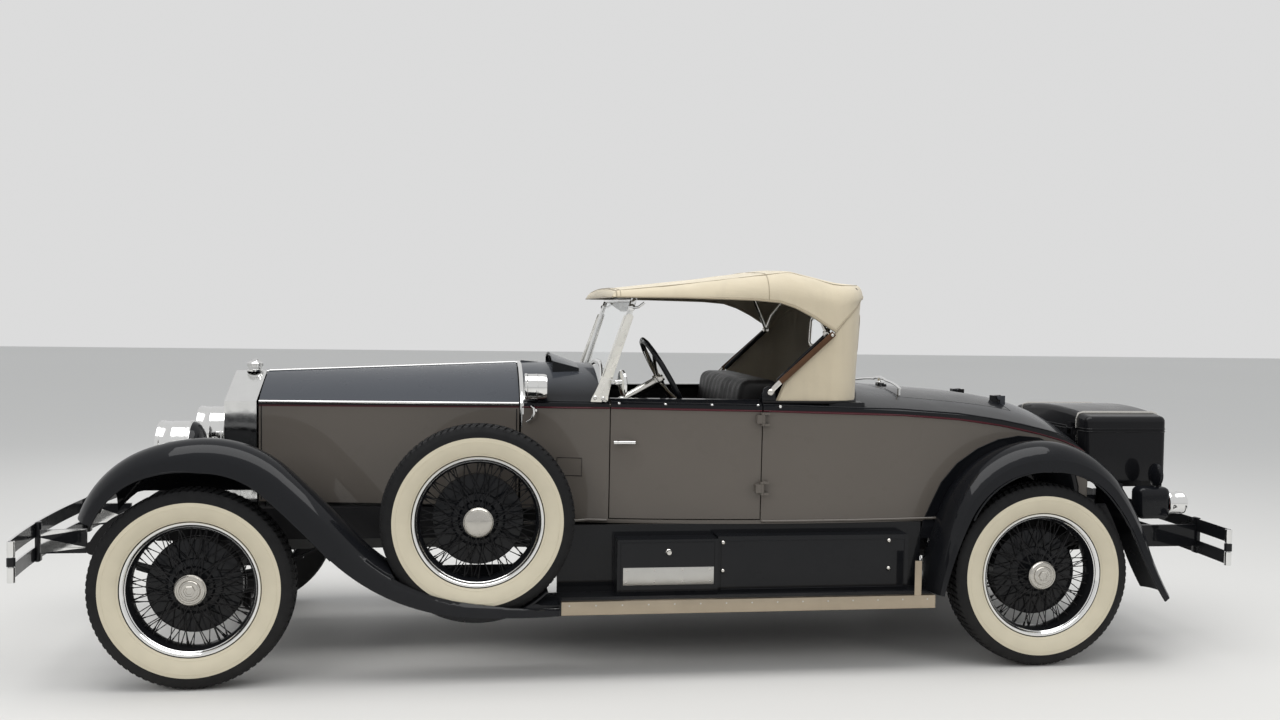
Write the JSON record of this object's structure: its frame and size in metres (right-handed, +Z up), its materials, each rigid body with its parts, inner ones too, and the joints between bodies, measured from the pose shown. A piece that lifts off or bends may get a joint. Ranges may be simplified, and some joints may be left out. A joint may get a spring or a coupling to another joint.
{
  "type": "vintage roadster",
  "caption": "Two seat open touring car of the 1920s with a fabric top, rumble lid, rear trunk, wire wheels and two side spares",
  "frame": {"origin": "centre of the bounding box on the ground under the tyres", "axes": "+X forward, +Y to the car's left, +Z up"},
  "size_m": [5.4498, 1.632, 1.8039],
  "materials": {
    "black_paint": "gloss coach enamel",
    "taupe_paint": "gloss coach enamel",
    "grey_paint": "gloss coach enamel",
    "chassis_black": "satin chassis enamel",
    "chrome": "polished plate",
    "bright_metal": "brushed",
    "cast_metal": "as cast, painted",
    "tyre": "black tread with a cream wall",
    "canvas": "rubberised canvas",
    "leather": "grained hide",
    "glass": "clear",
    "board": "board covered in ribbed rubber"
  },
  "bodies": {
    "car": {"body_tub": "taupe_paint", "bumper_front": "chrome", "bumper_rear": "chrome", "chassis_frame": "chassis_black", "dashboard": "black_paint", "engine": "cast_metal", "floor": "board", "front_axle": "chassis_black", "front_lamps": "chrome", "radiator_shell": "chrome", "radiator_shutters": "bright_metal", "rear_axle": "chassis_black", "rear_lamps": "chrome", "running_boards": "board", "seat": "leather", "side_lockers": "black_paint", "soft_top": "canvas", "spare_tyres": "tyre", "spare_wheels": "black_paint", "top_irons": "chassis_black", "trunk": "black_paint", "windscreen_frame": "chrome", "windscreen_glass": "glass", "wings_front": "black_paint", "wings_rear": "black_paint"},
    "knuckle_left": {"knuckle_left": "chassis_black"},
    "knuckle_right": {"knuckle_right": "chassis_black"},
    "tie_rod": {"tie_rod": "chassis_black"},
    "door_left": {"door_left": "taupe_paint"},
    "door_right": {"door_right": "taupe_paint"},
    "bonnet_top_left": {"bonnet_top_left": "grey_paint"},
    "bonnet_top_right": {"bonnet_top_right": "grey_paint"},
    "bonnet_side_left": {"bonnet_side_left": "taupe_paint"},
    "bonnet_side_right": {"bonnet_side_right": "taupe_paint"},
    "rumble_lid": {"rumble_lid": "black_paint"},
    "trunk_lid": {"trunk_lid": "black_paint"},
    "steering_wheel": {"steering_wheel": "black_paint"},
    "wheel_front_left": {"wheel_front_left": "black_paint", "tyre_front_left": "tyre"},
    "wheel_front_right": {"wheel_front_right": "black_paint", "tyre_front_right": "tyre"},
    "wheel_rear_left": {"wheel_rear_left": "black_paint", "tyre_rear_left": "tyre"},
    "wheel_rear_right": {"wheel_rear_right": "black_paint", "tyre_rear_right": "tyre"}
  },
  "joints": [
    {"name": "steer_left", "type": "hinge", "parent": "car", "child": "knuckle_left", "pos_m": [1.965, 0.592, 0.419], "axis": [0, 0, 1], "range_deg": [-30, 30]},
    {"name": "steer_right", "type": "hinge", "parent": "car", "child": "knuckle_right", "pos_m": [1.965, -0.592, 0.419], "axis": [0, 0, 1], "range_deg": [-31, 31]},
    {"name": "tie_rod_turn", "type": "hinge", "parent": "knuckle_left", "child": "tie_rod", "pos_m": [1.775, 0.592, 0.32], "axis": [0, 0, 1], "range_deg": [-31, 31]},
    {"name": "spin_front_left", "type": "hinge", "parent": "knuckle_left", "child": "wheel_front_left", "pos_m": [1.965, 0.724, 0.419], "axis": [0, 1, 0], "continuous": true},
    {"name": "spin_front_right", "type": "hinge", "parent": "knuckle_right", "child": "wheel_front_right", "pos_m": [1.965, -0.724, 0.419], "axis": [0, 1, 0], "continuous": true},
    {"name": "spin_rear_left", "type": "hinge", "parent": "car", "child": "wheel_rear_left", "pos_m": [-1.755, 0.724, 0.419], "axis": [0, 1, 0], "continuous": true},
    {"name": "spin_rear_right", "type": "hinge", "parent": "car", "child": "wheel_rear_right", "pos_m": [-1.755, -0.724, 0.419], "axis": [0, 1, 0], "continuous": true},
    {"name": "door_left_swing", "type": "hinge", "parent": "car", "child": "door_left", "pos_m": [-0.4745, 0.655, 0.961], "axis": [0, 0, 1], "range_deg": [0, 65]},
    {"name": "door_right_swing", "type": "hinge", "parent": "car", "child": "door_right", "pos_m": [-0.4745, -0.655, 0.961], "axis": [0, 0, -1], "range_deg": [0, 65]},
    {"name": "bonnet_left_lift", "type": "hinge", "parent": "car", "child": "bonnet_top_left", "pos_m": [1.1925, 0, 1.308], "axis": [0.9991, 0, -0.0428], "range_deg": [0, 50]},
    {"name": "bonnet_left_fold", "type": "hinge", "parent": "bonnet_top_left", "child": "bonnet_side_left", "pos_m": [1.1925, 0.3675, 1.1625], "axis": [0.9899, -0.1417, -0.0059], "range_deg": [-50, 1]},
    {"name": "bonnet_right_lift", "type": "hinge", "parent": "car", "child": "bonnet_top_right", "pos_m": [1.1925, 0, 1.308], "axis": [-0.9991, 0, 0.0428], "range_deg": [0, 50]},
    {"name": "bonnet_right_fold", "type": "hinge", "parent": "bonnet_top_right", "child": "bonnet_side_right", "pos_m": [1.1925, -0.3675, 1.1625], "axis": [-0.9899, -0.1417, 0.0059], "range_deg": [-50, 1]},
    {"name": "rumble_lid_lift", "type": "hinge", "parent": "car", "child": "rumble_lid", "pos_m": [-1.7625, 0, 1.192], "axis": [0, -1, 0], "range_deg": [0, 80]},
    {"name": "trunk_lid_lift", "type": "hinge", "parent": "car", "child": "trunk_lid", "pos_m": [-2.153, 0, 1.04025], "axis": [0, 1, 0], "range_deg": [0, 75]},
    {"name": "steering_wheel_turn", "type": "hinge", "parent": "car", "child": "steering_wheel", "pos_m": [-0.073, 0.308, 1.285], "axis": [-0.866, 0, 0.5], "range_deg": [-370, 370]}
  ],
  "couplings": [
    {"joint": "steer_right", "follows": "steer_left", "ratio": 1},
    {"joint": "tie_rod_turn", "follows": "steer_left", "ratio": -1},
    {"joint": "steering_wheel_turn", "follows": "steer_left", "ratio": 12},
    {"joint": "bonnet_left_fold", "follows": "bonnet_left_lift", "ratio": -0.8},
    {"joint": "bonnet_right_fold", "follows": "bonnet_right_lift", "ratio": -0.8}
  ]
}
